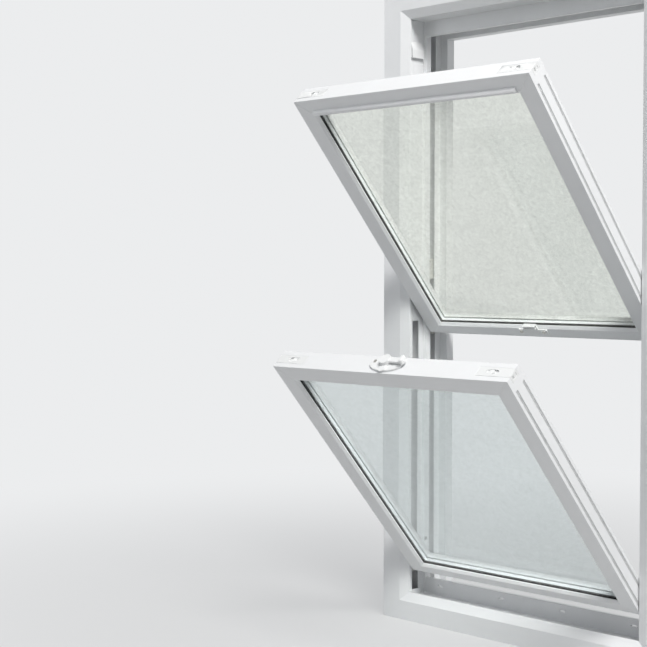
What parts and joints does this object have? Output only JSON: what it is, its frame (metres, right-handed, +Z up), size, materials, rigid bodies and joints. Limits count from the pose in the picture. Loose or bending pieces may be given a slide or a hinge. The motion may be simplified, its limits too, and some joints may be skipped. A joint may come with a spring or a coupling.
{
  "type": "double-hung sash window",
  "caption": "White double-hung window in its frame, with sliding sashes that tilt into the room on pivot bars, tilt latches, coil balances and a cam lock.",
  "frame": {"origin": "centre of the sill's underside: middle of the width, middle of the frame's depth, lowest face", "axes": "+X to the right as seen from the room, +Y outdoors through the window, +Z up"},
  "size_m": [0.61, 0.4714, 1.168],
  "materials": {
    "frame_vinyl": "satin white",
    "sash_vinyl": "satin white",
    "white_moulding": "satin white",
    "glass_pane": "clear",
    "black_spacer": "matt black",
    "glazing_tape": "matt grey",
    "pile": "grey pile",
    "shoe_plastic": "off-white",
    "steel": "zinc-plated",
    "lock_metal": "white enamel"
  },
  "bodies": {
    "frame": {"frame_head": "frame_vinyl", "frame_sill": "frame_vinyl", "frame_jamb_left": "frame_vinyl", "frame_jamb_right": "frame_vinyl", "drain_covers": "white_moulding", "track_cover_left": "white_moulding", "track_cover_right": "white_moulding", "sash_stop_left": "white_moulding", "sash_stop_right": "white_moulding", "balance_screws": "steel", "lower_balance_coil_left": "shoe_plastic", "lower_balance_ribbon_left": "steel", "lower_balance_coil_right": "shoe_plastic", "lower_balance_ribbon_right": "steel", "upper_balance_coil_left": "shoe_plastic", "upper_balance_ribbon_left": "steel", "upper_balance_coil_right": "shoe_plastic", "upper_balance_ribbon_right": "steel"},
    "lower_carriage": {"lower_balance_shoe_left": "shoe_plastic", "lower_balance_shoe_right": "shoe_plastic"},
    "lower_sash": {"lower_top_rail": "sash_vinyl", "lower_bottom_rail": "sash_vinyl", "lower_stile_left": "sash_vinyl", "lower_stile_right": "sash_vinyl", "lower_glass_inner": "glass_pane", "lower_glass_outer": "glass_pane", "lower_glass_spacer": "black_spacer", "lower_glazing_tape": "glazing_tape", "lower_glazing_beads": "sash_vinyl", "lower_weatherstrips": "pile", "lower_latch_housing_left": "white_moulding", "lower_latch_housing_right": "white_moulding", "lower_pivot_bar_left": "steel", "lower_pivot_bar_right": "steel", "lock_base": "lock_metal", "lock_screws": "steel"},
    "lower_latch_left": {"lower_tilt_latch_left": "white_moulding"},
    "lower_latch_right": {"lower_tilt_latch_right": "white_moulding"},
    "sash_lock": {"lock_lever": "lock_metal"},
    "upper_carriage": {"upper_balance_shoe_left": "shoe_plastic", "upper_balance_shoe_right": "shoe_plastic"},
    "upper_sash": {"upper_top_rail": "sash_vinyl", "upper_bottom_rail": "sash_vinyl", "upper_stile_left": "sash_vinyl", "upper_stile_right": "sash_vinyl", "upper_glass_inner": "glass_pane", "upper_glass_outer": "glass_pane", "upper_glass_spacer": "black_spacer", "upper_glazing_tape": "glazing_tape", "upper_glazing_beads": "sash_vinyl", "upper_weatherstrips": "pile", "upper_latch_housing_left": "white_moulding", "upper_latch_housing_right": "white_moulding", "upper_pivot_bar_left": "steel", "upper_pivot_bar_right": "steel", "lock_keeper": "lock_metal", "keeper_screws": "steel"},
    "upper_latch_left": {"upper_tilt_latch_left": "white_moulding"},
    "upper_latch_right": {"upper_tilt_latch_right": "white_moulding"}
  },
  "joints": [
    {"name": "lower_slide", "type": "slide", "parent": "frame", "child": "lower_carriage", "axis": [0, 0, 1], "range_m": [-0.045, 0.405], "deforming": ["lower_balance_ribbon_left", "lower_balance_ribbon_right"]},
    {"name": "lower_tilt", "type": "hinge", "parent": "lower_carriage", "child": "lower_sash", "pos_m": [0, -0.03225, 0.106], "axis": [1, 0, 0], "range_deg": [-42, 48]},
    {"name": "lower_latch_left_slide", "type": "slide", "parent": "lower_sash", "child": "lower_latch_left", "axis": [-1, 0, 0], "range_m": [0, 0.007]},
    {"name": "lower_latch_right_slide", "type": "slide", "parent": "lower_sash", "child": "lower_latch_right", "axis": [1, 0, 0], "range_m": [0, 0.007]},
    {"name": "lock_turn", "type": "hinge", "parent": "lower_sash", "child": "sash_lock", "pos_m": [0, -0.3886, 0.50775], "axis": [0, 0.6691, -0.7431], "range_deg": [0, 180]},
    {"name": "upper_slide", "type": "slide", "parent": "frame", "child": "upper_carriage", "axis": [0, 0, 1], "range_m": [-0.41, 0.026], "deforming": ["upper_balance_ribbon_left", "upper_balance_ribbon_right"]},
    {"name": "upper_tilt", "type": "hinge", "parent": "upper_carriage", "child": "upper_sash", "pos_m": [0, 0.01575, 0.551], "axis": [1, 0, 0], "range_deg": [-42, 48]},
    {"name": "upper_latch_left_slide", "type": "slide", "parent": "upper_sash", "child": "upper_latch_left", "axis": [-1, 0, 0], "range_m": [0, 0.007]},
    {"name": "upper_latch_right_slide", "type": "slide", "parent": "upper_sash", "child": "upper_latch_right", "axis": [1, 0, 0], "range_m": [0, 0.007]}
  ],
  "couplings": [
    {"joint": "upper_tilt", "follows": "lower_tilt", "ratio": 1}
  ]
}
